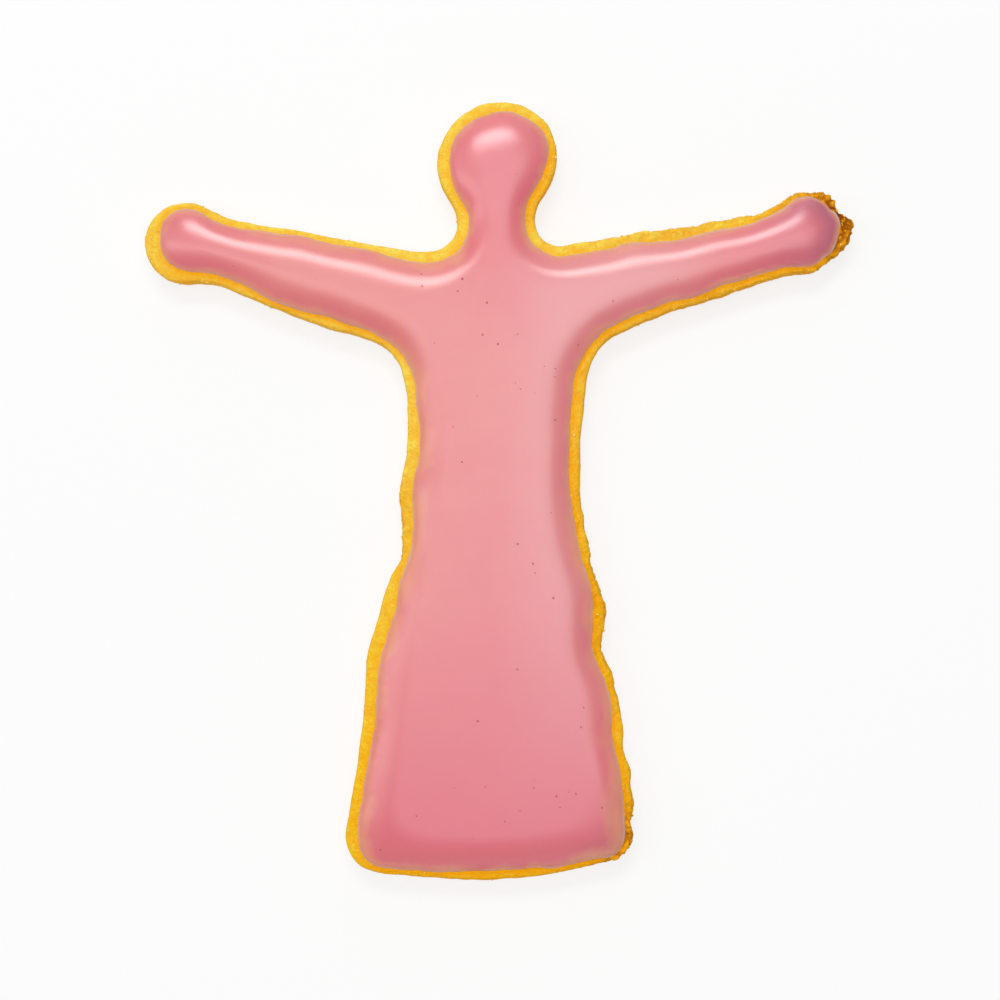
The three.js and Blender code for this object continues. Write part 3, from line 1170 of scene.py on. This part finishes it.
# %% Scatter pinholes
pinholes = apply_tree(
    pool,
    scatter_tree("scatter_pinholes", in_loose_groups, pinhole_material(), dot_shape, lies_flat=True),
    "pinholes",
    **{"Size": 0.16 * MM, "Apart": 0.9 * MM, "Most per square metre": 0.03e6, "Seed": 6},
)


# %% [markdown]
# ## Camera, light and floor
#
# The camera looks straight down. A compact window behind the cookie draws the bright band along
# the arms and the head, a narrow strip draws the faint one down the left of the gown, and the
# broad panels only fill the shadows.

# %% Camera
def in_scene(name, data):
    """Puts a camera, a light or a mesh in the scene."""
    placed = bpy.data.objects.new(name, data)
    bpy.context.scene.collection.objects.link(placed)
    return placed


camera_height = 0.4452
camera_middle = (0.0001, -0.0014)
camera = in_scene("camera", bpy.data.cameras.new("camera"))
camera.data.lens = 100
camera.data.clip_start = 0.01
camera.location = (*camera_middle, dough_top + camera_height)
bpy.context.scene.camera = camera

# %% Lights, with places and sizes in metres and power in watts
lights = {
    "main_window": {"place": (-0.06, 0.42, 0.84), "size": (0.36, 0.19), "power": 3.15},
    "left_strip": {"place": (-0.45, 0.0, 0.88), "size": (0.07, 0.8), "power": 1.1},
    "back_fill": {"place": (-0.1, 0.85, 0.55), "size": (1.2, 0.6), "power": 1.8},
    "front_fill": {"place": (0.1, -0.85, 0.5), "size": (1.2, 0.5), "power": 1.1},
    "left_fill": {"place": (-0.62, 0.12, 0.76), "size": (0.5, 0.9), "power": 1.2},
    "top_panel": {"place": (0.135, 0.02, 1.1), "size": (0.45, 0.6), "power": 2.3},
}


def soft_light(name, place, size, power):
    """A soft rectangular light that faces the cookie."""
    light = bpy.data.lights.new(name, "AREA")
    light.shape = "RECTANGLE"
    light.size, light.size_y = size
    light.energy = power
    lamp = in_scene(name, light)
    lamp.location = place
    lamp.rotation_euler = (-Vector(place)).to_track_quat("-Z", "Y").to_euler()


for name, light in lights.items():
    soft_light(name, **light)
world = bpy.context.scene.world or bpy.data.worlds.new("world")
bpy.context.scene.world = world
world.use_nodes = True
background = world.node_tree.nodes["Background"].inputs
background["Color"].default_value = (1, 1, 1, 1)
background["Strength"].default_value = 0.18
bpy.context.scene.view_settings.view_transform = "Standard"

# %% [markdown]
# The floor is pale paper on a light table. Its own glow keeps the cookie's shadow on it faint.

# %% Floor
half = 1.5
floor_mesh = bpy.data.meshes.new("floor")
corners = [(-half, -half, 0), (half, -half, 0), (half, half, 0), (-half, half, 0)]
floor_mesh.from_pydata(corners, [], [(0, 1, 2, 3)])
floor = in_scene("floor", floor_mesh)
paper, _, paper_shader = material("floor_paper", Roughness=0.9)
paper_shader["Base Color"].default_value = (0.18, 0.18, 0.18, 1)
paper_shader["Emission Color"].default_value = (1, 1, 1, 1)
paper_shader["Emission Strength"].default_value = 0.79
floor_mesh.materials.append(paper)

# %% [markdown]
# ## Attaching the pieces
#
# Each piece is attached to the body it rides on. The crust and the pool also stand in for the
# two plain solids, which are hidden. The slab that carried the attributes isn't needed any more.

# %% Bodies and replaced solids
for piece, slot in ((crumbs, "baked_dough"), (sugar, "baked_dough"), (pinholes, "pink_icing")):
    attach(piece, "root")
for piece, node, slot in ((crust, "cookie_base", "baked_dough"), (pool, "icing", "pink_icing")):
    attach(piece, "root")
    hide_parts(node)
bpy.data.objects.remove(dough)
for name in ("Cube", "Light", "Camera"):
    if name in bpy.data.objects:
        bpy.data.objects.remove(bpy.data.objects[name])
